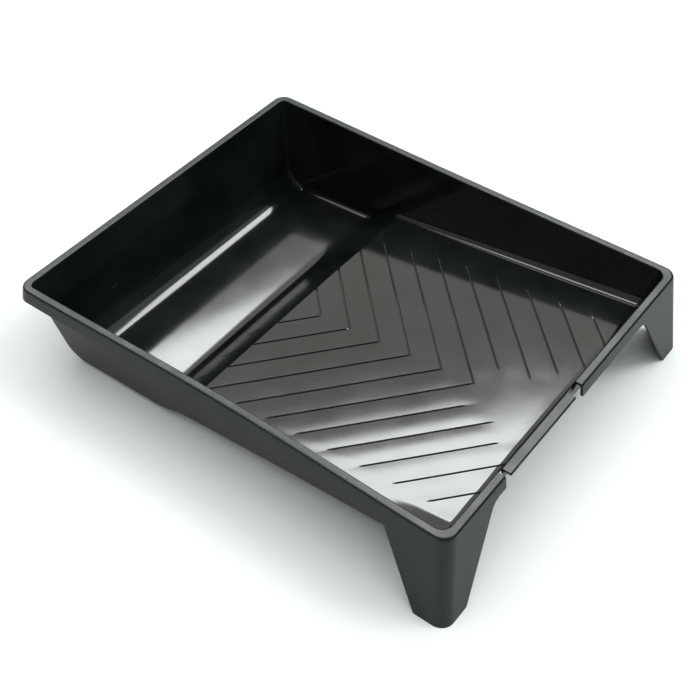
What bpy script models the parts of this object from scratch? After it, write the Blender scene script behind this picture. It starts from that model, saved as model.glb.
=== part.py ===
"""Paint roller tray: a deep well, a grooved ramp, an overhanging rim and two corner legs.

The real tray is one thin injection moulding.  Here each moulded feature is its own solid, with a
hairline gap to its neighbours.  X runs across the tray, +Y points at the deep end, +Z is up, and
the origin is on the surface that the tray stands on, under the middle of its footprint.  Positions
along y are measured from the middle of the rim, which an empty moves to its place.
"""
from math import atan2, ceil, hypot, radians, sin, tan

import bmesh
import bpy
from mathutils import Matrix, Vector

# Driving dimensions, in metres
RIM_WIDTH = 0.290
RIM_LENGTH = 0.358
HEIGHT = 0.0725
WALL = 0.002
GAP = 0.0003
RIM_BEAD = 0.006                # inner edge of the rim to its outer edge
RIM_CORNER = 0.0095
RIM_ROUND = 0.0009
SKIRT_DROP = 0.010
OUTER_SPLAY = radians(7.7)      # skirt and legs lean out so that trays nest
SIDE_DRAFT = radians(10)
BACK_DRAFT = radians(11.5)
FRONT_DRAFT = radians(12)

# Floor: the well and the ramp slope down towards the deep end, with a step between them
RAMP_SLOPE = radians(6.1)
RAMP_HEIGHT_AT_MIDDLE = 0.0236  # the ramp's plane, above the middle of the rim
WELL_SLOPE = radians(2.6)
WELL_HEIGHT_AT_MIDDLE = 0.00845
STEP_FOOT_Y = 0.073
STEP_TOP_Y = 0.049
BACK_FILLET = 0.020
STEP_FOOT_FILLET = 0.022
STEP_TOP_FILLET = 0.004
FRONT_FILLET = 0.010
SIDE_FILLET = 0.008

# Ramp grooves: chevrons that point at the shallow end
GROOVE_WIDTH = 0.0012
GROOVE_DEPTH = 0.0007
GROOVE_COUNT = 11
GROOVE_PITCH = 0.0265
FIRST_APEX_Y = 0.0268
GROOVE_SWEEP = 0.957            # rise in y for each unit of x
GROOVE_REACH = 0.1043
GROOVE_FRONT_Y = -0.1600
WHOLE_CHEVRONS = 6
SMOOTH_PATCH_REACH = (0.0205, 0.0235, 0.0378)   # where the next chevrons start, each side

# Lowered lip in the front rim, with a slot at each end
LIP_LENGTH = 0.078
LIP_MIDDLE_X = -0.036
LIP_DROP = 0.005
SLOT_WIDTH = 0.0075

# Legs, measured at the skirt's lower edge and at the foot
LEG_FRONT_X_AT_TOP = 0.0955
LEG_FRONT_X_AT_FOOT = 0.1312
LEG_SIDE_Y_AT_TOP = -0.1325
LEG_SIDE_Y_AT_FOOT = -0.1649
LEG_ARCH_FILLET = 0.010

# Where the moulding is divided
SIDE_SPLIT_X = 0.118
BACK_SPLIT_Y = 0.1435
FRONT_SPLIT_Y = -0.1615
RIM_SPLIT_X = 0.133

# Derived
RIM_X = RIM_WIDTH / 2
RIM_Y = RIM_LENGTH / 2
WALL_TOP = HEIGHT - WALL - GAP
SKIRT_BOTTOM = HEIGHT - SKIRT_DROP
LIP_START_X = LIP_MIDDLE_X - LIP_LENGTH / 2
LIP_END_X = LIP_MIDDLE_X + LIP_LENGTH / 2
FAR = 0.5
ARC_STEP = radians(12)

for leftover in list(bpy.data.objects):
    bpy.data.objects.remove(leftover, do_unlink=True)


def new_collection(name):
    collection = bpy.data.collections.new(name)
    bpy.context.scene.collection.children.link(collection)
    return collection


TRAY = new_collection("paint_roller_tray")
CUTTERS = new_collection("cutters")
RIM_MIDDLE = bpy.data.objects.new("rim_middle", None)
RIM_MIDDLE.location.y = tan(OUTER_SPLAY) * (HEIGHT - SKIRT_DROP) / 2
TRAY.objects.link(RIM_MIDDLE)


# ---------------------------------------------------------------- outlines

def meeting_point(a, b, c, d):
    """Where line a-b crosses line c-d."""
    ab, cd = b - a, d - c
    t = (c - a).cross(cd) / ab.cross(cd)
    return a + ab * t


def rounded(points, radii):
    """Replace each inner corner of an open outline with an arc."""
    result = [points[0]]
    for before, corner, after, radius in zip(points, points[1:], points[2:], radii):
        back = (before - corner).normalized()
        ahead = (after - corner).normalized()
        half = back.angle(ahead) / 2
        centre = corner + (back + ahead).normalized() * (radius / sin(half))
        start = corner + back * (radius / tan(half)) - centre
        end = corner + ahead * (radius / tan(half)) - centre
        turn = atan2(start.cross(end), start.dot(end))
        steps = ceil(abs(turn) / ARC_STEP)
        for i in range(steps + 1):
            result.append(centre + Matrix.Rotation(turn * i / steps, 2) @ start)
    return result + [points[-1]]


def well_height(y):
    return WELL_HEIGHT_AT_MIDDLE - tan(WELL_SLOPE) * y


def ramp_height(y):
    return RAMP_HEIGHT_AT_MIDDLE - tan(RAMP_SLOPE) * y


def floor_profile():
    """The basin's lengthwise section as (y, z), from the back rim down and forward to the front."""
    back_top = Vector((RIM_Y - RIM_BEAD, HEIGHT))
    back_low = back_top - Vector((tan(BACK_DRAFT), 1)) * HEIGHT
    front_top = Vector((-(RIM_Y - RIM_BEAD), HEIGHT))
    front_low = front_top + Vector((tan(FRONT_DRAFT), -1)) * HEIGHT
    well_end = Vector((STEP_FOOT_Y, well_height(STEP_FOOT_Y)))
    well_back = Vector((FAR, well_height(FAR)))
    ramp_start = Vector((STEP_TOP_Y, ramp_height(STEP_TOP_Y)))
    ramp_far = Vector((-FAR, ramp_height(-FAR)))
    back_corner = meeting_point(back_top, back_low, well_back, well_end)
    front_corner = meeting_point(front_top, front_low, ramp_start, ramp_far)
    corners = [back_top, back_corner, well_end, ramp_start, front_corner, front_top]
    radii = [BACK_FILLET, STEP_FOOT_FILLET, STEP_TOP_FILLET, FRONT_FILLET]
    return rounded(corners, radii)


# ---------------------------------------------------------------- meshes and modifiers

def inner_half_width(z):
    """Half the basin's inside width at a height."""
    return RIM_X - RIM_BEAD - tan(SIDE_DRAFT) * (HEIGHT - z)


def mesh_from(builder, name):
    bmesh.ops.recalc_face_normals(builder, faces=builder.faces)
    if builder.calc_volume(signed=True) < 0:
        bmesh.ops.reverse_faces(builder, faces=builder.faces)
    mesh = bpy.data.meshes.new(name)
    builder.to_mesh(mesh)
    builder.free()
    return mesh


def prism(corners, along, name):
    """Extrude a flat outline, given as 3-D corners, by a vector."""
    builder = bmesh.new()
    base = builder.faces.new([builder.verts.new(corner) for corner in corners])
    extruded = bmesh.ops.extrude_face_region(builder, geom=[base])["geom"]
    moved = [item for item in extruded if isinstance(item, bmesh.types.BMVert)]
    bmesh.ops.translate(builder, verts=moved, vec=along)
    return mesh_from(builder, name)


def basin_surface():
    """The inside of the basin as an open surface: floor, walls and their rounded corners."""
    builder = bmesh.new()
    outline = floor_profile()
    left = builder.faces.new([builder.verts.new((-inner_half_width(z), y, z)) for y, z in outline])
    copied = bmesh.ops.extrude_face_region(builder, geom=[left])["geom"]
    for item in copied:
        if isinstance(item, bmesh.types.BMVert):
            item.co.x = -item.co.x
    lid = [face for face in builder.faces
           if all(abs(vert.co.z - HEIGHT) < GAP for vert in face.verts)]
    bmesh.ops.delete(builder, geom=lid, context="FACES_ONLY")
    bmesh.ops.recalc_face_normals(builder, faces=builder.faces)
    hems = [edge for edge in builder.edges
            if not edge.is_boundary and edge.verts[0].co.x * edge.verts[1].co.x > 0]
    bmesh.ops.bevel(builder, geom=hems, offset=SIDE_FILLET, segments=4, profile=0.5,
                    affect="EDGES", clamp_overlap=False)
    bmesh.ops.dissolve_degenerate(builder, edges=builder.edges, dist=GAP / 30)
    return mesh_from(builder, "basin_surface")


def frustum(inset, bottom, top, name):
    """The splayed outer block of rim and legs, with rounded corners, inset evenly."""
    builder = bmesh.new()
    bmesh.ops.create_cube(builder, size=2)
    for vert in builder.verts:
        z = top if vert.co.z > 0 else bottom
        spread = tan(OUTER_SPLAY) * (HEIGHT - z) - inset
        vert.co = (vert.co.x * (RIM_X + spread), vert.co.y * (RIM_Y + spread), z)
    uprights = [edge for edge in builder.edges
                if abs(edge.verts[0].co.z - edge.verts[1].co.z) > (top - bottom) / 2]
    bmesh.ops.bevel(builder, geom=uprights, offset=RIM_CORNER - inset, segments=5, profile=0.5,
                    affect="EDGES")
    return mesh_from(builder, name)


def box(name, low, high):
    """A box between two corners."""
    builder = bmesh.new()
    bmesh.ops.create_cube(builder, size=1)
    size = Vector(high) - Vector(low)
    middle = (Vector(high) + Vector(low)) / 2
    for vert in builder.verts:
        vert.co = Vector(vert.co) * size + middle
    return mesh_from(builder, name)


def add(name, mesh, collection=TRAY):
    item = bpy.data.objects.new(name, mesh)
    item.parent = RIM_MIDDLE
    collection.objects.link(item)
    return item


def cutter(name, mesh):
    item = add(name, mesh, CUTTERS)
    item.hide_render = True
    item.display_type = "WIRE"
    return item


def boolean(item, operation, tool):
    step = item.modifiers.new(f"{operation.lower()}_{tool.name}", "BOOLEAN")
    step.operation = operation
    step.solver = "EXACT"
    step.object = tool


def plastic(item, roughness):
    """Near-black polypropylene with a faint green cast."""
    material = bpy.data.materials.new(f"{item.name}_plastic")
    material.use_nodes = True
    shader = material.node_tree.nodes["Principled BSDF"]
    shader.inputs["Base Color"].default_value = (0.010, 0.013, 0.012, 1)
    shader.inputs["Roughness"].default_value = roughness
    shader.inputs["Metallic"].default_value = 0
    item.data.materials.clear()
    item.data.materials.append(material)


# ---------------------------------------------------------------- basin

GLOSS = 0.16
SATIN = 0.30


def basin_piece(name, low, high, roughness=GLOSS):
    """One region of the solidified basin, between two corners."""
    item = add(name, basin_surface())
    skin = item.modifiers.new("wall", "SOLIDIFY")
    skin.thickness = WALL
    skin.offset = 1
    skin.use_even_offset = True
    boolean(item, "INTERSECT", cutter(f"{name}_region", box(f"{name}_region", low, high)))
    plastic(item, roughness)
    return item


def chevron_outline(apex_y, start_x):
    """The outlines of one groove: a whole V, or two arms that start at start_x."""
    half = GROOVE_WIDTH * hypot(1, GROOVE_SWEEP) / 2
    end_x = min(GROOVE_REACH, (STEP_TOP_Y - apex_y) / GROOVE_SWEEP)
    if start_x is None:
        return [[(-end_x, apex_y + end_x * GROOVE_SWEEP - half), (0, apex_y - half),
                 (end_x, apex_y + end_x * GROOVE_SWEEP - half),
                 (end_x, apex_y + end_x * GROOVE_SWEEP + half), (0, apex_y + half),
                 (-end_x, apex_y + end_x * GROOVE_SWEEP + half)]]
    arms = []
    for side in (-1, 1):
        arms.append([(side * x, apex_y + x * GROOVE_SWEEP + edge)
                     for x, edge in ((start_x, -half), (end_x, -half), (end_x, half), (start_x, half))])
    return arms


def groove_cutters():
    """A cutter for each groove, as deep as the groove and standing on the ramp."""
    tools = []
    for number in range(GROOVE_COUNT):
        apex_y = FIRST_APEX_Y - number * GROOVE_PITCH
        start_x = None
        if number >= WHOLE_CHEVRONS:
            patch = number - WHOLE_CHEVRONS
            reach = SMOOTH_PATCH_REACH[patch] if patch < len(SMOOTH_PATCH_REACH) else 0
            start_x = max(reach, (GROOVE_FRONT_Y - apex_y) / GROOVE_SWEEP)
        for arm, outline in enumerate(chevron_outline(apex_y, start_x)):
            bottom = [(x, y, ramp_height(y) - GROOVE_DEPTH) for x, y in outline]
            name = f"groove_{number}_{arm}"
            tools.append(cutter(name, prism(bottom, (0, 0, HEIGHT), name)))
    return tools


def make_basin():
    half = SIDE_SPLIT_X - GAP / 2
    cuts = [FAR, BACK_SPLIT_Y, STEP_FOOT_Y, STEP_TOP_Y, FRONT_SPLIT_Y, -FAR]
    names = ["back_wall", "well_floor", "ramp_step", "ramp", "front_wall"]
    pieces = {}
    for name, high_y, low_y in zip(names, cuts, cuts[1:]):
        low = (-half, low_y + GAP / 2, -FAR)
        high = (half, high_y - GAP / 2, WALL_TOP)
        pieces[name] = basin_piece(name, low, high)
    for tool in groove_cutters():
        boolean(pieces["ramp"], "DIFFERENCE", tool)
    notch = box("lip_notch", (LIP_START_X - SLOT_WIDTH, -FAR, WALL_TOP - LIP_DROP),
                (LIP_END_X + SLOT_WIDTH, 0, FAR))
    boolean(pieces["front_wall"], "DIFFERENCE", cutter("lip_notch", notch))
    for name, side in (("left_wall", -1), ("right_wall", 1)):
        low_x, high_x = sorted((side * (SIDE_SPLIT_X + GAP / 2), side * FAR))
        basin_piece(name, (low_x, -FAR, -FAR), (high_x, FAR, WALL_TOP))


# ---------------------------------------------------------------- rim and lip

def rim_cutters():
    """The basin's mouth and the hollow under the rim."""
    mouth = bmesh.new()
    bmesh.ops.create_cube(mouth, size=2)
    for vert in mouth.verts:
        vert.co = (vert.co.x * (RIM_X - RIM_BEAD), vert.co.y * (RIM_Y - RIM_BEAD), vert.co.z * FAR)
    uprights = [edge for edge in mouth.edges if abs(edge.verts[0].co.z - edge.verts[1].co.z) > FAR]
    bmesh.ops.bevel(mouth, geom=uprights, offset=SIDE_FILLET, segments=4, profile=0.5,
                    affect="EDGES")
    hollow = frustum(WALL, SKIRT_BOTTOM - WALL, HEIGHT - WALL, "rim_hollow")
    return cutter("mouth", mesh_from(mouth, "mouth")), cutter("rim_hollow", hollow)


def make_rim():
    mouth, hollow = rim_cutters()
    split = RIM_SPLIT_X - GAP / 2
    outer_split = RIM_SPLIT_X + GAP / 2
    regions = {
        "rim_back": ((-split, 0, 0), (split, FAR, FAR)),
        "rim_left": ((-FAR, -FAR, 0), (-outer_split, FAR, FAR)),
        "rim_right": ((outer_split, -FAR, 0), (FAR, FAR, FAR)),
        "rim_front_left": ((-split, -FAR, 0), (LIP_START_X - SLOT_WIDTH, 0, FAR)),
        "rim_front_right": ((LIP_END_X + SLOT_WIDTH, -FAR, 0), (split, 0, FAR)),
    }
    for name, (low, high) in regions.items():
        item = add(name, frustum(0, SKIRT_BOTTOM, HEIGHT, name))
        edge = item.modifiers.new("round", "BEVEL")
        edge.width = RIM_ROUND
        edge.segments = 2
        edge.limit_method = "ANGLE"
        edge.angle_limit = radians(60)
        boolean(item, "DIFFERENCE", hollow)
        boolean(item, "DIFFERENCE", mouth)
        boolean(item, "INTERSECT", cutter(f"{name}_region", box(f"{name}_region", low, high)))
        plastic(item, SATIN)
    top = HEIGHT - LIP_DROP
    lip = add("front_lip", box("front_lip", (LIP_START_X, -RIM_Y, top - WALL),
                               (LIP_END_X, -(RIM_Y - RIM_BEAD), top)))
    edge = lip.modifiers.new("round", "BEVEL")
    edge.width = RIM_ROUND / 2
    edge.segments = 2
    plastic(lip, SATIN)


# ---------------------------------------------------------------- legs

def leg_outline(top, foot, outside):
    """A leg flange's outline as (distance from the middle, z), with a fillet under the skirt."""
    ceiling = SKIRT_BOTTOM - GAP
    inner_top = Vector((top, ceiling))
    flare = inner_top + Vector((-LEG_ARCH_FILLET * 2, 0))
    curve = rounded([flare, inner_top, Vector((foot, 0))], [LEG_ARCH_FILLET])
    return curve[1:] + [Vector((outside, 0)), Vector((outside, ceiling))]


def make_legs():
    ceiling = SKIRT_BOTTOM - GAP
    front_outline = leg_outline(LEG_FRONT_X_AT_TOP, LEG_FRONT_X_AT_FOOT, FAR)
    side_outline = leg_outline(-LEG_SIDE_Y_AT_TOP, -LEG_SIDE_Y_AT_FOOT, FAR)
    for name, side in (("left_leg", -1), ("right_leg", 1)):
        leg = add(name, frustum(0, 0, ceiling, name))
        inside = cutter(f"{name}_inside", frustum(WALL, -GAP, HEIGHT, f"{name}_inside"))
        front_face = prism([(side * x, -FAR, z) for x, z in front_outline],
                           (0, FAR - RIM_Y + RIM_CORNER, 0), f"{name}_front_face")
        side_face = prism([(side * FAR, -y, z) for y, z in side_outline],
                          (side * (RIM_X - RIM_CORNER - FAR), 0, 0), f"{name}_side_face")
        outline = cutter(f"{name}_outline", front_face)
        boolean(outline, "UNION", cutter(f"{name}_side", side_face))
        boolean(leg, "DIFFERENCE", inside)
        boolean(leg, "INTERSECT", outline)
        plastic(leg, SATIN)


make_basin()
make_rim()
make_legs()
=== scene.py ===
"""Paint roller tray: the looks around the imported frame.

The tray is one black moulding.  Two closed shells show it: the basin, inside and out, and the rim
with its skirt, lowered lip and legs.  Both are woven from rows of points that follow the same
section, so they meet flush at the rim's inner edge.  Positions are in metres from the middle of
the rim, on the surface that the tray stands on.
"""

from math import atan2, ceil, copysign, cos, hypot, pi, radians, sin, sqrt, tan

import bmesh
import bpy
from mathutils import Matrix, Vector


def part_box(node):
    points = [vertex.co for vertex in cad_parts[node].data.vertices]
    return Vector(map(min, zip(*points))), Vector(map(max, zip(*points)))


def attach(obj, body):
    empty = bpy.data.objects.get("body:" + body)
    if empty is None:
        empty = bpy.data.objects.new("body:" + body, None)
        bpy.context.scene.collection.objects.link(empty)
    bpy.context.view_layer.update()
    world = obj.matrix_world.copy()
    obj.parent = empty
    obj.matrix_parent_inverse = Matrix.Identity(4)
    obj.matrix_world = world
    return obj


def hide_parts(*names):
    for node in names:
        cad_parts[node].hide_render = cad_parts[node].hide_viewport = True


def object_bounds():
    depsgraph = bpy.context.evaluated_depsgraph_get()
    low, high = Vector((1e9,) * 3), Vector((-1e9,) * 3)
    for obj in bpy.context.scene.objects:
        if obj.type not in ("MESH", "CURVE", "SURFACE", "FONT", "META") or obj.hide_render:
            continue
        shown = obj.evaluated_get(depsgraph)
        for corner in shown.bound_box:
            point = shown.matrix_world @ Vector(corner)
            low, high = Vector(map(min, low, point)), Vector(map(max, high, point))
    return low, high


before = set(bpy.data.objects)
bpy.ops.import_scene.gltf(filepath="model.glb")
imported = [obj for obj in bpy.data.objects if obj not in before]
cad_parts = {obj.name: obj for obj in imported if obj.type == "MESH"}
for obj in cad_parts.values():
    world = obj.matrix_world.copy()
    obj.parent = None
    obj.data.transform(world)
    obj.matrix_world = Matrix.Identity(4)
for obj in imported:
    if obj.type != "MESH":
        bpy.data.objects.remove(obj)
CAD_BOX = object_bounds()

# ---------------------------------------------------------------- sizes

OUTER_SPLAY = radians(7.7)
SKIRT_DROP = 0.010
HEIGHT = CAD_BOX[1][2]
RIM_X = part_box("rim_right")[1].x - tan(OUTER_SPLAY) * SKIRT_DROP
RIM_MIDDLE_Y = (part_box("rim_left")[0].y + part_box("rim_left")[1].y) / 2
RIM_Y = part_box("rim_left")[1].y - RIM_MIDDLE_Y - tan(OUTER_SPLAY) * SKIRT_DROP
WALL = 0.002
RIM_BEAD = 0.006
RIM_CORNER = 0.0095
RIM_INNER_ROUND = 0.0010
RIM_OUTER_ROUND = 0.0016
SIDE_DRAFT = radians(10)
BACK_DRAFT = radians(11.5)
FRONT_DRAFT = radians(12)

RAMP_SLOPE = radians(6.1)
RAMP_HEIGHT_AT_MIDDLE = 0.0236
WELL_SLOPE = radians(2.6)
WELL_HEIGHT_AT_MIDDLE = 0.00845
STEP_FOOT_Y = 0.073
STEP_TOP_Y = 0.049
BACK_FILLET = 0.020
STEP_FOOT_FILLET = 0.022
STEP_TOP_FILLET = 0.004
FRONT_FILLET = 0.010
SIDE_FILLET = 0.008
BACK_CORNER_FILLET = 0.004      # the side fillets narrow to this towards the back
FILLET_NARROWS_AT = (-0.10, 0.05)

# Outside of the floor
OUTER_EDGE_DROP = 0.0047        # it hangs this far below the ramp's own thickness
DROP_FOR_FILLET = 0.66          # and less by this share of what the side fillet has narrowed
DROP_STARTS_AT = (-0.150, -0.125)
DROP_ENDS_AT = (0.052, 0.080)
WELL_EDGE_ROUND = 0.005         # the well's outside is this much rounder along its sides
WELL_ROUND_STARTS_AT = (0.055, 0.075)
FLOOR_TILT = radians(45)        # a profile steeper than this is a wall

GROOVE_WIDTH = 0.0013
GROOVE_DEPTH = 0.0008
GROOVE_COUNT = 11
GROOVE_PITCH = 0.0265
FIRST_APEX_Y = 0.0268
GROOVE_SWEEP = 0.957            # rise in y for each unit of x
GROOVE_REACH = 0.1043
GROOVE_FRONT_Y = -0.1630
WHOLE_CHEVRONS = 6
SMOOTH_PATCH_REACH = (0.0205, 0.0235, 0.0378)
STEP_GROOVES = 4                # the first grooves run on down the step
STEP_GROOVE_END_Y = 0.066
# The grooves' cutter, as half widths sideways and depths up from the floor
GROOVE_SECTION = ((-1.3, 1.2), (-1.3, 0.06), (-1, -0.15), (-0.6, -0.85), (0, -1), (0.6, -0.85),
                  (1, -0.15), (1.3, 0.06), (1.3, 1.2))
GATE_AT = (-0.0013, 0.0009)     # injection point, where the second groove turns
GATE_RADIUS = 0.0016
GATE_HEIGHT = 0.0005

SKIRT_BOTTOM = HEIGHT - SKIRT_DROP
LIP_LENGTH = 0.078
LIP_MIDDLE_X = -0.036
LIP_DROP = 0.005
LIP_ROUND = 0.0010
LIP_CLEARANCE = 0.0003          # between the lip's underside and the notch in the front wall
SLOT_WIDTH = 0.0075
LIP_START_X = LIP_MIDDLE_X - LIP_LENGTH / 2
LIP_END_X = LIP_MIDDLE_X + LIP_LENGTH / 2
NOTCH_Z = HEIGHT - LIP_DROP - WALL - LIP_CLEARANCE

LEG_FRONT_X_AT_TOP = 0.0955
LEG_FRONT_X_AT_FOOT = 0.1312
LEG_SIDE_Y_AT_TOP = -0.1325
LEG_SIDE_Y_AT_FOOT = -0.1649
LEG_ARCH_FILLET = 0.010

BOW = {-1: 0.0032, 1: 0.0010}   # how far the long sides have warped inward at their middles

# Mesh density and shading
ARC_STEP = radians(6)
SMALL_ARC_STEP = radians(15)
SPACING = 0.007                 # between points on flat stretches
FLAT_REACH = 0.112              # half the width that is flat in every row
FILLET_COLUMNS = 12
GROOVE_SPACING = 0.0015
SHARP = radians(40)
GROOVE_SHARP = radians(20)      # on the basin, so that the grooves' lips stay crisp
SHADING_WEIGHT = 100            # flat stretches decide the normals beside them
EDGE_SOFTENING = 0.0004
EDGE_SEGMENTS = 3

# Unevenness that only the reflections show, as a bump in the basin's plastic
STRIP_CROWN = 0.00006           # each strip of the ramp between two grooves bulges by this
STRIP_END_FADE = (-0.004, 0.010)
STEP_FADE = 0.004
PATCH_Y = -0.150                # middle of the patch at the front where the strips are flat
PATCH_FADE = (0.045, 0.080)
PATCH_NARROWING = 1.6
WELL_LEAN_Y = 0.095             # line in the well's floor that its lean turns about
WELL_TWIST = 0.05               # slope gained along y for each metre of x
WELL_TWIST_FROM = -0.742        # the x of no slope
WELL_CROWN = 0.29               # the floor curves down by this, times the square of the distance
WELL_CROWN_Y = 0.085
WELL_FRONT_FADE = (0.068, 0.082)
WELL_BACK_FADE = (0.112, 0.150)
WELL_SIDE_FADE = (0.100, 0.118)
CORNER_RISE = 0.0012            # the ramp's left front corner turns up by this
CORNER_RISE_X = (-0.121, -0.109)
CORNER_RISE_Y = (-0.165, -0.108)

# The plastic
BASIN_ROUGHNESS = (0.085, 0.105)
BASIN_COLOURS = ((0.0030, 0.0040, 0.0042, 1), (0.0075, 0.0092, 0.0105, 1))
BASIN_WAVES = 0.00001
BASIN_SHINE = 0.5
BASIN_SHINE_TILT = (-0.10, 0.0)     # the normal's z, from dull to shiny
RIM_ROUGHNESS = (0.24, 0.33)
RIM_COLOURS = ((0.0055, 0.0095, 0.0065, 1), (0.010, 0.0145, 0.0105, 1))
RIM_WAVES = 0.00002
RIM_SHINE = 0.27
RIM_SHINE_TILT = (0.2, 0.6)
OUTSIDE_SHINE = 0.28
OUTSIDE_ROUGHNESS = 0.42
SCUFF_COLOUR = (0.16, 0.17, 0.165, 1)
DUST_COLOUR = (0.30, 0.30, 0.28, 1)

# Camera, in degrees and metres from the middle of the rim
LENS = 63.99
SENSOR = 36
CAMERA_AZIMUTH, CAMERA_ELEVATION, CAMERA_ROLL = -53.32, 46.06, 0.37
CAMERA_DISTANCE = 0.81885
CAMERA_TARGET = (-0.05419, -0.04064, 0.0717)


# ---------------------------------------------------------------- outlines

def smoothstep(low, high, value):
    t = min(1, max(0, (value - low) / (high - low)))
    return t * t * (3 - 2 * t)


def rounded(corners, radii, step=ARC_STEP, spacing=None):
    """An open outline with arcs at its inner corners, as (point, left-hand normal) pairs.

    Between two arcs the outline gets a point at every spacing, if one is given."""
    result = []
    for before, corner, after, radius in zip(corners, corners[1:], corners[2:], radii):
        behind = (corner - before).normalized()
        ahead = (after - corner).normalized()
        turn = atan2(behind.cross(ahead), behind.dot(ahead))
        side = copysign(1, turn)
        normal = Vector((-behind.y, behind.x))
        start = corner - behind * radius * tan(abs(turn) / 2)
        centre = start + normal * radius * side
        if not result:
            result.append((before, normal))
        elif spacing:
            last = result[-1][0]
            count = ceil((start - last).length / spacing)
            result += [(last.lerp(start, i / count), normal) for i in range(1, count)]
        steps = ceil(abs(turn) / step) if radius else 0
        for i in range(steps + 1):
            spun = Matrix.Rotation(turn * i / max(1, steps), 2) @ normal
            result.append((centre - spun * radius * side, spun))
    return result + [(corners[-1], Vector((-ahead.y, ahead.x)))]


def meeting_point(a, b, c, d):
    """Where line a-b crosses line c-d."""
    ab, cd = b - a, d - c
    return a + ab * ((c - a).cross(cd) / ab.cross(cd))


def well_height(y):
    return WELL_HEIGHT_AT_MIDDLE - tan(WELL_SLOPE) * y


def ramp_height(y):
    return RAMP_HEIGHT_AT_MIDDLE - tan(RAMP_SLOPE) * y


def inner_half_width(z):
    return RIM_X - RIM_BEAD - tan(SIDE_DRAFT) * (HEIGHT - z)


def front_wall_y(z):
    return -(RIM_Y - RIM_BEAD) + tan(FRONT_DRAFT) * (HEIGHT - z)


def back_wall_y(z):
    return RIM_Y - RIM_BEAD - tan(BACK_DRAFT) * (HEIGHT - z)


def floor_profile():
    """The basin's lengthwise section as ((y, z), normal), from front to back, past the rim."""
    above = HEIGHT + RIM_BEAD
    front_top = Vector((front_wall_y(above), above))
    front_low = Vector((front_wall_y(0), 0))
    back_top = Vector((back_wall_y(above), above))
    back_low = Vector((back_wall_y(0), 0))
    ramp_start = Vector((STEP_TOP_Y, ramp_height(STEP_TOP_Y)))
    ramp_far = Vector((-RIM_Y, ramp_height(-RIM_Y)))
    well_end = Vector((STEP_FOOT_Y, well_height(STEP_FOOT_Y)))
    well_back = Vector((RIM_Y, well_height(RIM_Y)))
    front_corner = meeting_point(front_top, front_low, ramp_start, ramp_far)
    back_corner = meeting_point(back_top, back_low, well_back, well_end)
    corners = [front_top, front_corner, ramp_start, well_end, back_corner, back_top]
    radii = [FRONT_FILLET, STEP_TOP_FILLET, STEP_FOOT_FILLET, BACK_FILLET]
    return rounded(corners, radii, spacing=SPACING)


PROFILE = floor_profile()


def floor_height(y):
    """Height of the inside floor at a y on the ramp, the step or the well."""
    for (low, _), (high, _) in zip(PROFILE[1:], PROFILE[2:]):
        if low.x <= y < high.x:
            return low.lerp(high, (y - low.x) / (high.x - low.x)).y
    return ramp_height(y)


def arch_start(top, foot):
    """Where the fillet between the skirt's edge and a leg's sloping edge begins."""
    turn = atan2(SKIRT_BOTTOM, foot - top)
    return top - LEG_ARCH_FILLET * tan(turn / 2)


def leg_edge(top, foot, z):
    """Distance from the tray's middle to a leg's free edge at a height."""
    turn = atan2(SKIRT_BOTTOM, foot - top)
    above_centre = z - (SKIRT_BOTTOM - LEG_ARCH_FILLET)
    if above_centre > LEG_ARCH_FILLET * cos(turn):
        reach = sqrt(max(0, LEG_ARCH_FILLET ** 2 - above_centre ** 2))
        return arch_start(top, foot) + reach
    return top + (foot - top) * (SKIRT_BOTTOM - z) / SKIRT_BOTTOM


LEG_START_X = arch_start(LEG_FRONT_X_AT_TOP, LEG_FRONT_X_AT_FOOT)
LEG_START_Y = arch_start(-LEG_SIDE_Y_AT_TOP, -LEG_SIDE_Y_AT_FOOT)
NOTCH_EDGES = (LIP_START_X - SLOT_WIDTH, LIP_START_X, LIP_END_X, LIP_END_X + SLOT_WIDTH)


def across():
    """Columns of points across the floor: evenly spaced, and at each edge of the lip and legs."""
    fixed = [-LEG_START_X, *NOTCH_EDGES, LEG_START_X]
    count = round(FLAT_REACH / SPACING)
    even = [FLAT_REACH * i / count for i in range(-count, count + 1)]
    return sorted(fixed + [x for x in even if min(abs(x - f) for f in fixed) > SPACING / 4])


COLUMNS = across()
FIRST_FLAT = FILLET_COLUMNS + 1     # index of the first flat column in a row


def side_fillet(y):
    """Radius between the floor and a side wall; it narrows evenly towards the back."""
    start, end = FILLET_NARROWS_AT
    share = min(1, max(0, (y - start) / (end - start)))
    return SIDE_FILLET + (BACK_CORNER_FILLET - SIDE_FILLET) * share


def edge_drop(y):
    """How far the outside of the floor hangs below the ramp's own thickness."""
    drop = OUTER_EDGE_DROP - DROP_FOR_FILLET * (SIDE_FILLET - side_fillet(y))
    return drop * smoothstep(*DROP_STARTS_AT, y) * (1 - smoothstep(*DROP_ENDS_AT, y))


# ---------------------------------------------------------------- basin skins

def corner_normals(normal):
    """The side fillet's normals, from the floor's own to the right wall's."""
    floor = Vector((0, *normal))
    wall = Vector((-cos(SIDE_DRAFT), 0, sin(SIDE_DRAFT)))
    return [floor.slerp(wall, i / FILLET_COLUMNS) for i in range(FILLET_COLUMNS + 1)]


def at_height(a, b, z):
    return a.lerp(b, (z - a.z) / (b.z - a.z))


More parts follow.
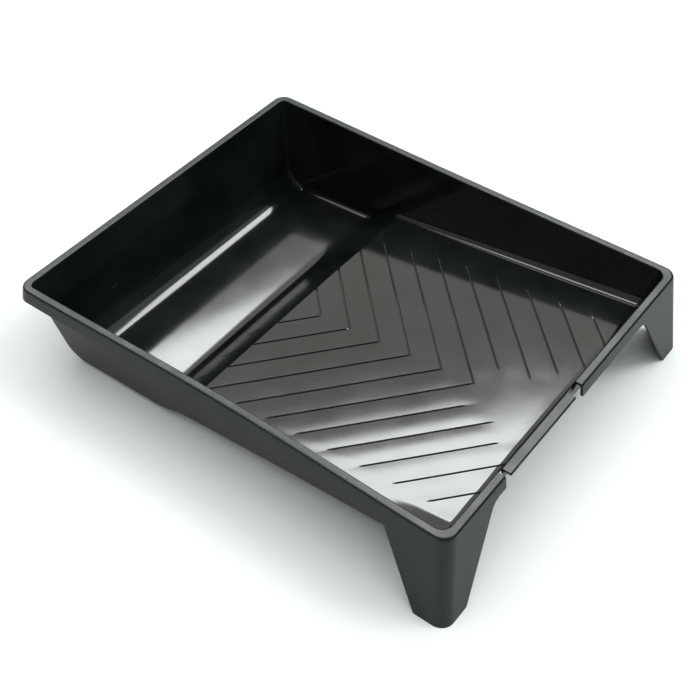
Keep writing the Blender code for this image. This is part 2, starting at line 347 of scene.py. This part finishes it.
def skin_rows(depth, top):
    """Rows of points across the basin, from the front's top edge to the back's, on its inside
    surface or at a depth behind it.  The second row is the notch's level."""
    rows = []
    for point, normal in PROFILE:
        radius = side_fillet(point.x)
        if depth:
            radius += WELL_EDGE_ROUND * smoothstep(*WELL_ROUND_STARTS_AT, point.x)
            if normal.y > cos(FLOOR_TILT):
                point = point - Vector((0, edge_drop(point.x)))
        centre = point + normal * radius
        centre_x = inner_half_width(centre.y) - radius / cos(SIDE_DRAFT)
        ball = Vector((centre_x, *centre))
        arc = [ball - n * (radius + depth) for n in corner_normals(normal)]
        flat = [Vector((x, *(point - normal * depth))) for x in COLUMNS]
        rows.append([Vector((-p.x, p.y, p.z)) for p in reversed(arc)] + flat + arc)
    front = [[at_height(a, b, z) for a, b in zip(rows[0], rows[1])] for z in (top, NOTCH_Z)]
    back = [at_height(a, b, top) for a, b in zip(rows[-2], rows[-1])]
    return front + rows[1:-1] + [back]


def side_tops(rows, depth, top, side):
    """Points along a side wall's top edge, one over each row but the first and last."""
    x = side * (inner_half_width(top) + depth / cos(SIDE_DRAFT))
    tops = [Vector((x, row[0].y, top)) for row in rows[1:-1]]
    nearest = min(tops, key=lambda p: abs(p.y + LEG_START_Y))
    nearest.y = -LEG_START_Y
    return tops


def top_loop(front, right, back, left):
    return front + right + back[::-1] + left[::-1]


INSIDE_TOP = HEIGHT - RIM_INNER_ROUND
OUTSIDE_TOP = HEIGHT - WALL
INSIDE = skin_rows(0, INSIDE_TOP)
OUTSIDE = skin_rows(WALL, OUTSIDE_TOP)
SIDE_TOPS = {(depth, side): side_tops(rows, depth, top, side)
             for rows, depth, top in ((INSIDE, 0, INSIDE_TOP), (OUTSIDE, WALL, OUTSIDE_TOP))
             for side in (-1, 1)}
INSIDE_LOOP = top_loop(INSIDE[0], SIDE_TOPS[0, 1], INSIDE[-1], SIDE_TOPS[0, -1])
OUTSIDE_LOOP = top_loop(OUTSIDE[0], SIDE_TOPS[WALL, 1], OUTSIDE[-1], SIDE_TOPS[WALL, -1])


def outer_targets():
    """For each point of the top loop: its place on the rim's outer edge, the way that place moves
    as the skirt splays, and the corner centre that it turns about, or None."""
    def end_row(side_y, normal):
        turns = [Vector((-n.x, -n.y)).normalized() for n in corner_normals(normal)]
        row = []
        for side_x, directions in ((-1, turns[::-1]), (1, turns)):
            centre = Vector((side_x * (RIM_X - RIM_CORNER), side_y * (RIM_Y - RIM_CORNER)))
            for turn in directions:
                outward = Vector((side_x * turn.x, turn.y))
                row.append((centre + outward * RIM_CORNER, Vector((side_x, side_y)), centre))
            if side_x < 0:
                row += [(Vector((x, side_y * RIM_Y)), Vector((0, side_y)), None) for x in COLUMNS]
        return row

    front = end_row(-1, PROFILE[0][1])
    back = end_row(1, PROFILE[-1][1])
    sides = {side: [(Vector((side * RIM_X, p.y)), Vector((side, 0)), None)
                    for p in SIDE_TOPS[0, side]] for side in (-1, 1)}
    return top_loop(front, sides[1], back, sides[-1])


TARGETS = outer_targets()


def weave(builder, first, second, skip=()):
    """Quads, or triangles where they share a point, between two rows of vertices."""
    for i, corners in enumerate(zip(first, first[1:], second[1:], second)):
        ring = list(dict.fromkeys(corners))
        if i not in skip and len(ring) > 2:
            builder.faces.new(ring)


def column_of(x):
    return FIRST_FLAT + COLUMNS.index(x)


NOTCH = range(column_of(NOTCH_EDGES[0]), column_of(NOTCH_EDGES[3]))
LIP = range(column_of(NOTCH_EDGES[1]), column_of(NOTCH_EDGES[2]))


def finished_mesh(builder, name):
    bmesh.ops.recalc_face_normals(builder, faces=builder.faces)
    mesh = bpy.data.meshes.new(name)
    builder.to_mesh(mesh)
    builder.free()
    item = bpy.data.objects.new(name, mesh)
    item.location.y = RIM_MIDDLE_Y
    bpy.context.scene.collection.objects.link(item)
    return item


def basin_mesh():
    builder = bmesh.new()
    loops = []
    notch_rows = []
    for rows, depth in ((INSIDE, 0), (OUTSIDE, WALL)):
        grid = [[builder.verts.new(point) for point in row] for row in rows]
        for number, (row, after) in enumerate(zip(grid, grid[1:])):
            weave(builder, row, after, NOTCH if number == 0 else ())
        walls = {}
        for side, column in ((-1, 0), (1, -1)):
            low = [row[column] for row in grid]
            tops = [builder.verts.new(point) for point in SIDE_TOPS[depth, side]]
            weave(builder, low, [low[0], *tops, low[-1]])
            walls[side] = tops
        loops.append(top_loop(grid[0], walls[1], grid[-1], walls[-1]))
        notch_rows.append(grid[1])
    inside, outside = loops
    weave(builder, inside + inside[:1], outside + outside[:1], NOTCH)
    within = slice(NOTCH.start, NOTCH.stop + 1)
    weave(builder, notch_rows[0][within], notch_rows[1][within])
    for column in (NOTCH.start, NOTCH.stop):
        builder.faces.new([inside[column], notch_rows[0][column], notch_rows[1][column],
                           outside[column]])
    loose = [vert for vert in builder.verts if not vert.link_faces]
    bmesh.ops.delete(builder, geom=loose, context="VERTS")
    return finished_mesh(builder, "basin")


# ---------------------------------------------------------------- rim, lip and legs

def rim_section():
    """The rim's section as (distance out from the basin, z), down the skirt and up inside it."""
    foot = RIM_BEAD + tan(OUTER_SPLAY) * SKIRT_DROP
    roof = RIM_BEAD + tan(OUTER_SPLAY) * WALL
    thick = WALL / cos(OUTER_SPLAY)
    corners = [(0, INSIDE_TOP), (tan(SIDE_DRAFT) * RIM_INNER_ROUND, HEIGHT), (RIM_BEAD, HEIGHT),
               (foot, SKIRT_BOTTOM), (foot - thick, SKIRT_BOTTOM), (roof - thick, OUTSIDE_TOP)]
    radii = [RIM_INNER_ROUND, RIM_OUTER_ROUND, 0, 0]
    return [p for p, _ in rounded([Vector(c) for c in corners], radii, step=SMALL_ARC_STEP)]


SECTION = rim_section()
SKIRT_ROW = len(SECTION) - 3        # the ring on the skirt's outer lower edge


def ring_point(index, distance, z):
    """A point of the rim at a distance out from the basin."""
    target, spread_way, _ = TARGETS[index]
    if distance <= RIM_BEAD:
        place = INSIDE_LOOP[index].xy.lerp(target, distance / RIM_BEAD)
    else:
        place = target + spread_way * (distance - RIM_BEAD)
    return Vector((*place, z))


def leg_point(index, z, inset):
    """A point of a leg under a point of the skirt, on its outside or inset from it."""
    target, spread_way, centre = TARGETS[index]
    spread = tan(OUTER_SPLAY) * (HEIGHT - z)
    spread_at_top = tan(OUTER_SPLAY) * SKIRT_DROP
    if centre:
        outward = (target - centre).normalized()
        return Vector((*(centre + spread_way * spread + outward * (RIM_CORNER - inset)), z))
    if spread_way.y:
        axis, half = 0, RIM_X
        edge = leg_edge(LEG_FRONT_X_AT_TOP, LEG_FRONT_X_AT_FOOT, z)
        start = LEG_START_X
    else:
        axis, half = 1, RIM_Y
        edge = leg_edge(-LEG_SIDE_Y_AT_TOP, -LEG_SIDE_Y_AT_FOOT, z)
        start = LEG_START_Y
    corner_at_top = half - RIM_CORNER + spread_at_top
    corner = half - RIM_CORNER + spread
    share = (corner_at_top - abs(target[axis])) / (corner_at_top - start)
    along = corner + (edge - corner) * share
    point = target + spread_way * (spread - inset)
    point[axis] = copysign(along, target[axis])
    return Vector((*point, z))


def leg_indices():
    """The stretches of the top loop that the left and the right leg hang from, in loop order."""
    count = len(TARGETS)

    def find(x_sign, along):
        return next(i for i, (target, way, _) in enumerate(TARGETS)
                    if target[0] * x_sign > 0 and target[1] < 0
                    and abs(abs(target[along]) - (LEG_START_X, LEG_START_Y)[along]) < WALL / 100
                    and way[along] == 0)

    left = [i % count for i in range(find(-1, 1), find(-1, 0) + count + 1)]
    right = list(range(find(1, 0), find(1, 1) + 1))
    return left, right


def leg_levels():
    """Heights of a leg's rows below the skirt, closer together along the arch's fillet."""
    turn = atan2(SKIRT_BOTTOM, LEG_FRONT_X_AT_FOOT - LEG_FRONT_X_AT_TOP)
    count = ceil(turn / ARC_STEP)
    arc = [SKIRT_BOTTOM - LEG_ARCH_FILLET * (1 - cos(turn * i / count))
           for i in range(1, count + 1)]
    below = ceil(arc[-1] / SPACING)
    return arc + [arc[-1] * (1 - i / below) for i in range(1, below + 1)]


def add_leg(builder, indices, outside, inside):
    """Extend the skirt's outer and inner lower edges down to the foot, and close the edges."""
    for z in leg_levels():
        next_outside = [builder.verts.new(leg_point(i, z, 0)) for i in indices]
        next_inside = [builder.verts.new(leg_point(i, z, WALL)) for i in indices]
        weave(builder, outside, next_outside)
        weave(builder, inside, next_inside)
        for end in (0, -1):
            builder.faces.new([outside[end], next_outside[end], next_inside[end], inside[end]])
        outside, inside = next_outside, next_inside
    weave(builder, outside, inside)


def lip_section():
    """The lip's section as (y, z), from the basin's inside, over the lip and back underneath."""
    top = HEIGHT - LIP_DROP
    under = top - WALL
    behind = WALL / cos(FRONT_DRAFT)
    corners = [(front_wall_y(NOTCH_Z), NOTCH_Z), (front_wall_y(top), top), (-RIM_Y, top),
               (-RIM_Y, under), (front_wall_y(under) - behind, under),
               (front_wall_y(NOTCH_Z) - behind, NOTCH_Z)]
    radii = [LIP_ROUND, LIP_ROUND, LIP_ROUND / 2, 0]
    return [p for p, _ in rounded([Vector(c) for c in corners], radii, step=SMALL_ARC_STEP)]


def add_lip(builder):
    section = lip_section()
    xs = [COLUMNS[i - FIRST_FLAT] for i in range(LIP.start, LIP.stop + 1)]
    rows = [[builder.verts.new((x, *p)) for x in xs] for p in section]
    for row, after in zip(rows, rows[1:] + rows[:1]):
        weave(builder, row, after)
    for end in (0, -1):
        builder.faces.new([row[end] for row in rows])
    return rows[0] + rows[-1]


def rim_mesh():
    builder = bmesh.new()
    rings = [[builder.verts.new(ring_point(i, *place)) for i in range(len(TARGETS))]
             for place in SECTION]
    rings.append([builder.verts.new(point) for point in OUTSIDE_LOOP])
    legs = leg_indices()
    under_legs = {i for leg in legs for i in leg[:-1]}
    for number, (ring, after) in enumerate(zip(rings, rings[1:] + rings[:1])):
        skip = set(NOTCH) | (under_legs if number == SKIRT_ROW else set())
        weave(builder, ring + ring[:1], after + after[:1], skip)
    for column in (NOTCH.start, NOTCH.stop):
        builder.faces.new([ring[column] for ring in rings])
    for leg in legs:
        add_leg(builder, leg, [rings[SKIRT_ROW][i] for i in leg],
                [rings[SKIRT_ROW + 1][i] for i in leg])
    flush = set(rings[0] + rings[-1] + add_lip(builder))
    loose = [vert for vert in builder.verts if not vert.link_faces]
    flush -= set(loose)
    bmesh.ops.delete(builder, geom=loose, context="VERTS")
    weights = builder.edges.layers.float.new("bevel_weight_edge")
    for edge in builder.edges:
        hidden = edge.verts[0] in flush and edge.verts[1] in flush
        if not hidden and edge.calc_face_angle(0) > SHARP:
            edge[weights] = 1
    item = finished_mesh(builder, "rim_and_legs")
    soft = item.modifiers.new("softened_edges", "BEVEL")
    soft.width = EDGE_SOFTENING
    soft.segments = EDGE_SEGMENTS
    soft.limit_method = "WEIGHT"
    return item


# ---------------------------------------------------------------- grooves and gate mark

def groove_paths():
    """Each groove's middle line as (x, y) points, from its outer end inward."""
    paths = []
    for number in range(GROOVE_COUNT):
        apex_y = FIRST_APEX_Y - number * GROOVE_PITCH
        high_y = STEP_GROOVE_END_Y if number < STEP_GROOVES else STEP_TOP_Y - STEP_TOP_FILLET / 2
        end_x = min(GROOVE_REACH, (high_y - apex_y) / GROOVE_SWEEP)
        start_x = 0
        if number >= WHOLE_CHEVRONS:
            patch = number - WHOLE_CHEVRONS
            reach = SMOOTH_PATCH_REACH[patch] if patch < len(SMOOTH_PATCH_REACH) else 0
            start_x = max(reach, (GROOVE_FRONT_Y - apex_y) / GROOVE_SWEEP)
        count = ceil((end_x - start_x) / GROOVE_SPACING)
        xs = [start_x + (end_x - start_x) * i / count for i in range(count + 1)]
        arm = [Vector((x, apex_y + GROOVE_SWEEP * x)) for x in xs]
        other = [Vector((-p.x, p.y)) for p in reversed(arm)]
        paths += [other, arm] if start_x else [other[:-1] + arm]
    return paths


def groove_cutter(builder, path):
    """A trough along a path: rounded bottom, eased lips, and pointed ends."""
    half = GROOVE_WIDTH * hypot(1, GROOVE_SWEEP) / 2
    rows = []
    for point in path:
        from_end = min((point - path[0]).length, (path[-1] - point).length)
        size = min(1, sqrt((from_end + GROOVE_WIDTH / 8) / GROOVE_WIDTH))
        row = []
        for sideways, up in GROOVE_SECTION:
            y = point.y + sideways * half * size
            rise = GROOVE_DEPTH * up * (size if up < 0 else 1)
            row.append(builder.verts.new((point.x, y, floor_height(y) + rise)))
        rows.append(row)
    for row, after in zip(rows, rows[1:]):
        weave(builder, row + row[:1], after + after[:1])
    for end in (0, -1):
        builder.faces.new(rows[end])


def gate_mark():
    """A low round pip, where the plastic entered the mould."""
    builder = bmesh.new()
    bmesh.ops.create_uvsphere(builder, u_segments=20, v_segments=10, radius=1)
    centre = Vector((*GATE_AT, ramp_height(GATE_AT[1])))
    for vert in builder.verts:
        vert.co = centre + Vector(vert.co) * Vector((GATE_RADIUS, GATE_RADIUS, GATE_HEIGHT))
    return finished_mesh(builder, "gate_mark")


def carved(item, operation, tool):
    """The item with a Boolean applied to its mesh. The tool is removed."""
    step = item.modifiers.new("carve", "BOOLEAN")
    step.operation = operation
    step.solver = "EXACT"
    step.object = tool
    settled(item)
    bpy.data.objects.remove(tool)


def settled(item):
    """Apply an item's modifiers to its mesh."""
    bpy.context.view_layer.update()
    evaluated = item.evaluated_get(bpy.context.evaluated_depsgraph_get())
    mesh = bpy.data.meshes.new_from_object(evaluated)
    item.modifiers.clear()
    item.data = mesh


def all_grooves():
    builder = bmesh.new()
    for path in groove_paths():
        groove_cutter(builder, path)
    return finished_mesh(builder, "grooves")


# ---------------------------------------------------------------- warp and shading

def warp(item):
    """The long sides have pulled in a little at their middles, most at the rim."""
    for vert in item.data.vertices:
        point = vert.co
        side = 1 if point.x > 0 else -1
        share = smoothstep(FLAT_REACH / 2, RIM_X, abs(point.x)) * smoothstep(0, HEIGHT, point.z)
        along = max(0, 1 - (point.y / RIM_Y) ** 2)
        point.x -= side * BOW[side] * share * along ** 2


def smooth(item, sharp):
    item.data.shade_smooth()
    item.data.set_sharp_from_angle(angle=sharp)
    even = item.modifiers.new("even_shading", "WEIGHTED_NORMAL")
    even.keep_sharp = True
    even.weight = SHADING_WEIGHT
    settled(item)


# ---------------------------------------------------------------- materials

class Nodes:
    """Short calls for building a node tree."""

    def __init__(self, name):
        self.material = bpy.data.materials.new(name)
        self.material.use_nodes = True
        self.tree = self.material.node_tree
        self.shader = self.tree.nodes["Principled BSDF"]
        self.place = self.add("ShaderNodeTexCoord").outputs["Object"]

    def add(self, kind, **settings):
        node = self.tree.nodes.new(kind)
        for name, value in settings.items():
            setattr(node, name, value)
        return node

    def feed(self, socket, value):
        if isinstance(value, bpy.types.NodeSocket):
            self.tree.links.new(value, socket)
        else:
            socket.default_value = value

    def math(self, operation, *values):
        node = self.add("ShaderNodeMath", operation=operation)
        for socket, value in zip(node.inputs, values):
            self.feed(socket, value)
        return node.outputs[0]

    def stretched(self, turn, scale):
        node = self.add("ShaderNodeMapping")
        self.feed(node.inputs["Vector"], self.place)
        node.inputs["Rotation"].default_value = turn
        node.inputs["Scale"].default_value = scale
        return node.outputs[0]

    def noise(self, scale, detail=2, vector=None):
        node = self.add("ShaderNodeTexNoise")
        self.feed(node.inputs["Vector"], vector or self.place)
        node.inputs["Scale"].default_value = scale
        node.inputs["Detail"].default_value = detail
        return node.outputs[0]

    def range(self, value, low, high, to_low, to_high):
        node = self.add("ShaderNodeMapRange", interpolation_type="SMOOTHSTEP")
        for socket, number in zip(node.inputs, (value, low, high, to_low, to_high)):
            self.feed(socket, number)
        return node.outputs[0]

    def mix(self, share, first, second):
        node = self.add("ShaderNodeMix", data_type="RGBA")
        self.feed(node.inputs["Factor"], share)
        self.feed(node.inputs["A"], first)
        self.feed(node.inputs["B"], second)
        return node.outputs["Result"]


def scratches(nodes):
    """Hair scratches in three directions, as 0 to 1."""
    total = 0
    for turn, density in ((0.3, 0.735), (1.2, 0.75), (2.4, 0.745)):
        lines = nodes.noise(1, 3, nodes.stretched((0, 0, turn), (30, 2200, 30)))
        lines = nodes.range(lines, density, density + 0.05, 0, 1)
        patches = nodes.range(nodes.noise(28, 1, nodes.stretched((0, 0, turn), (1, 1, 1))),
                              0.5, 0.62, 0, 1)
        total = nodes.math("ADD", total, nodes.math("MULTIPLY", lines, patches))
    return nodes.math("MINIMUM", total, 1)


def strip_crowns(nodes, from_middle, y):
    """Height of the bulge between two grooves of the ramp; the front patch has none."""
    sweep = nodes.math("MULTIPLY", from_middle, GROOVE_SWEEP)
    across_grooves = nodes.math("SUBTRACT", nodes.math("SUBTRACT", y, sweep), FIRST_APEX_Y)
    phase = nodes.math("FRACT", nodes.math("DIVIDE", across_grooves, GROOVE_PITCH))
    bulge = nodes.math("SINE", nodes.math("MULTIPLY", phase, pi))
    on_ramp = nodes.range(y, STEP_TOP_Y - STEP_FADE, STEP_TOP_Y, 1, 0)
    within = nodes.range(from_middle, *(GROOVE_REACH + fade for fade in STRIP_END_FADE), 1, 0)
    from_patch = nodes.math("ABSOLUTE", nodes.math("SUBTRACT", y, PATCH_Y))
    from_patch = nodes.math("ADD", nodes.math("MULTIPLY", from_middle, PATCH_NARROWING), from_patch)
    off_patch = nodes.range(from_patch, *PATCH_FADE, 0, 1)
    share = nodes.math("MULTIPLY", nodes.math("MULTIPLY", on_ramp, within), off_patch)
    return nodes.math("MULTIPLY", nodes.math("MULTIPLY", bulge, share), STRIP_CROWN)


def well_lean(nodes, from_middle, x, y):
    """Height of the well floor's lean, which grows from left to right, less its crown."""
    slope = nodes.math("MULTIPLY", nodes.math("SUBTRACT", x, WELL_TWIST_FROM), WELL_TWIST)
    lean = nodes.math("MULTIPLY", slope, nodes.math("SUBTRACT", y, WELL_LEAN_Y))
    from_crown = nodes.math("SUBTRACT", y, WELL_CROWN_Y)
    crown = nodes.math("MULTIPLY", nodes.math("MULTIPLY", from_crown, from_crown), WELL_CROWN)
    in_well = nodes.math("MULTIPLY", nodes.range(y, *WELL_FRONT_FADE, 0, 1),
                         nodes.range(y, *WELL_BACK_FADE, 1, 0))
    in_well = nodes.math("MULTIPLY", in_well, nodes.range(from_middle, *WELL_SIDE_FADE, 1, 0))
    return nodes.math("MULTIPLY", nodes.math("SUBTRACT", lean, crown), in_well)


def corner_rise(nodes, x, y):
    rise = nodes.math("MULTIPLY", nodes.range(x, *CORNER_RISE_X, 1, 0),
                      nodes.range(y, *CORNER_RISE_Y, 1, 0))
    return nodes.math("MULTIPLY", rise, CORNER_RISE)


def plastic(name, roughness, colours, waviness, shine_tilt, shine):
    """Near-black plastic: uneven gloss, a wavy skin, fine grain, hair scratches and dust.

    Faces below the shine's tilt have the duller finish of the tray's outside."""
    nodes = Nodes(name)
    shader = nodes.shader
    blotches = nodes.noise(22, 3)
    scuffs = scratches(nodes)
    dust = nodes.range(nodes.noise(1500, 1), 0.70, 0.78, 0, 1)
    colour = nodes.mix(nodes.range(blotches, 0.3, 0.7, 0, 1), *colours)
    colour = nodes.mix(nodes.math("MULTIPLY", scuffs, 0.25), colour, SCUFF_COLOUR)
    colour = nodes.mix(nodes.math("MULTIPLY", dust, 0.12), colour, DUST_COLOUR)
    nodes.feed(shader.inputs["Base Color"], colour)
    uneven = nodes.range(nodes.noise(45, 4), 0.3, 0.7, *roughness)
    rough = nodes.math("ADD", uneven, nodes.math("MULTIPLY", scuffs, 0.22))
    shader.inputs["IOR"].default_value = 1.5
    shader.inputs["Metallic"].default_value = 0
    up = nodes.add("ShaderNodeSeparateXYZ")
    nodes.feed(up.inputs[0], nodes.add("ShaderNodeNewGeometry").outputs["True Normal"])
    nodes.feed(shader.inputs["Specular IOR Level"],
               nodes.range(up.outputs[2], *shine_tilt, OUTSIDE_SHINE, shine))
    nodes.feed(shader.inputs["Roughness"],
               nodes.range(up.outputs[2], *shine_tilt, OUTSIDE_ROUGHNESS, rough))
    waves = nodes.math("MULTIPLY", nodes.noise(18, 1), waviness)
    ripples = nodes.math("MULTIPLY", nodes.noise(110, 2), waviness * 0.025)
    grain = nodes.math("MULTIPLY", nodes.noise(2600, 2), 0.0000012)
    cuts = nodes.math("MULTIPLY", scuffs, -0.000004)
    height = nodes.math("ADD", nodes.math("ADD", waves, ripples), nodes.math("ADD", grain, cuts))
    return nodes, height


def apply_bump(nodes, height):
    bump = nodes.add("ShaderNodeBump")
    bump.inputs["Strength"].default_value = 1
    bump.inputs["Distance"].default_value = 1
    nodes.feed(bump.inputs["Height"], height)
    nodes.feed(nodes.shader.inputs["Normal"], bump.outputs[0])


def basin_plastic():
    nodes, height = plastic("gloss_black_plastic", BASIN_ROUGHNESS, BASIN_COLOURS, BASIN_WAVES,
                            BASIN_SHINE_TILT, BASIN_SHINE)
    split = nodes.add("ShaderNodeSeparateXYZ")
    nodes.feed(split.inputs[0], nodes.place)
    x, y = split.outputs[0], split.outputs[1]
    from_middle = nodes.math("ABSOLUTE", x)
    for unevenness in (strip_crowns(nodes, from_middle, y), well_lean(nodes, from_middle, x, y),
                       corner_rise(nodes, x, y)):
        height = nodes.math("ADD", height, unevenness)
    apply_bump(nodes, height)
    return nodes.material


def rim_plastic():
    nodes, height = plastic("satin_black_plastic", RIM_ROUGHNESS, RIM_COLOURS, RIM_WAVES,
                            RIM_SHINE_TILT, RIM_SHINE)
    apply_bump(nodes, height)
    return nodes.material


def floor_plastic():
    nodes = Nodes("pale_floor")
    shade = nodes.mix(nodes.noise(3, 2), (0.86, 0.87, 0.86, 1), (0.90, 0.90, 0.89, 1))
    nodes.feed(nodes.shader.inputs["Base Color"], shade)
    nodes.shader.inputs["Roughness"].default_value = 0.8
    return nodes.material


# ---------------------------------------------------------------- stage, camera and lights

def unit(azimuth, elevation):
    """A direction; azimuth 0 looks along +Y and turns towards +X."""
    a, e = radians(azimuth), radians(elevation)
    return Vector((sin(a) * cos(e), cos(a) * cos(e), sin(e)))


def add_camera():
    data = bpy.data.cameras.new("camera")
    data.lens = LENS
    data.sensor_width = SENSOR
    camera = bpy.data.objects.new("camera", data)
    bpy.context.scene.collection.objects.link(camera)
    azimuth, elevation = radians(CAMERA_AZIMUTH), radians(CAMERA_ELEVATION)
    target = Vector(CAMERA_TARGET) + Vector((0, RIM_MIDDLE_Y, 0))
    back = Vector((sin(azimuth) * cos(elevation), -cos(azimuth) * cos(elevation), sin(elevation)))
    level = Vector((cos(azimuth), sin(azimuth), 0))
    right = Matrix.Rotation(radians(CAMERA_ROLL), 3, back) @ level
    up = back.cross(right)
    frame_axes = Matrix((right, up, back)).transposed().to_4x4()
    camera.matrix_world = Matrix.Translation(target + back * CAMERA_DISTANCE) @ frame_axes
    bpy.context.scene.camera = camera


def add_floor():
    builder = bmesh.new()
    bmesh.ops.create_grid(builder, x_segments=8, y_segments=8, size=6)
    mesh = bpy.data.meshes.new("floor")
    builder.to_mesh(mesh)
    builder.free()
    floor = bpy.data.objects.new("floor", mesh)
    bpy.context.scene.collection.objects.link(floor)
    mesh.materials.append(floor_plastic())


def add_softbox(name, azimuth, elevation, distance, width, height, radiance, tint=(1, 1, 1)):
    """A rectangular light that faces the tray from a direction."""
    data = bpy.data.lights.new(name, "AREA")
    data.shape = "RECTANGLE"
    data.size = width
    data.size_y = height
    data.energy = radiance * width * height * pi
    data.color = tint
    light = bpy.data.objects.new(name, data)
    direction = unit(azimuth, elevation)
    light.location = direction * distance
    light.rotation_euler = direction.to_track_quat("Z", "Y").to_euler()
    bpy.context.scene.collection.objects.link(light)
    return light


def add_light():
    """Lights that the plastic mirrors, and soft lights that only brighten the floor."""
    bpy.context.scene.view_settings.view_transform = "Standard"
    world = bpy.data.worlds.new("studio")
    bpy.context.scene.world = world
    world.use_nodes = True
    background = world.node_tree.nodes["Background"]
    background.inputs["Color"].default_value = (0.70, 0.95, 1.0, 1)
    background.inputs["Strength"].default_value = 0.12
    mirrored = [
        add_softbox("window", 44, 45.6, 30, 26.7, 2.94, 17, (0.95, 1.0, 0.96)),
        add_softbox("lamp", 72, 56, 30, 12.8, 7.4, 13, (0.98, 1.0, 0.98)),
        add_softbox("pale_wall", 48, 31.5, 30, 28, 12.2, 1.25, (1.0, 1.0, 0.88)),
        add_softbox("shelf", 118, 62, 30, 24, 12, 0.9, (0.85, 1.0, 0.90)),
        add_softbox("room", -65, 35, 30, 22, 28, 0.45, (1.0, 0.95, 0.85)),
        add_softbox("skylight", -14, 64, 30, 8, 8, 7.0, (1.0, 0.97, 0.93)),
    ]
    for light in mirrored:
        light.visible_diffuse = False
    soft = [
        add_softbox("key", 140, 50, 6, 2.4, 2.4, 6.5, (0.96, 1.0, 0.95)),
        add_softbox("ceiling", 0, 90, 5, 10, 10, 1.80, (0.97, 1.0, 0.96)),
    ]
    for light in soft:
        light.visible_glossy = False


# ---------------------------------------------------------------- build

add_camera()
basin = basin_mesh()
carved(basin, "DIFFERENCE", all_grooves())
carved(basin, "UNION", gate_mark())
rim = rim_mesh()
settled(rim)
for piece, surface, slot, sharp in ((basin, basin_plastic(), "gloss_black", GROOVE_SHARP),
                                    (rim, rim_plastic(), "satin_black", SHARP)):
    warp(piece)
    smooth(piece, sharp)
    piece.data.materials.clear()
    piece.data.materials.append(surface)
    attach(piece, "root")
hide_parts("back_wall", "well_floor", "ramp_step", "ramp", "front_wall", "left_wall",
            "right_wall")
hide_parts("rim_back", "rim_left", "rim_right", "rim_front_left", "rim_front_right",
            "front_lip", "left_leg", "right_leg")
add_floor()
add_light()
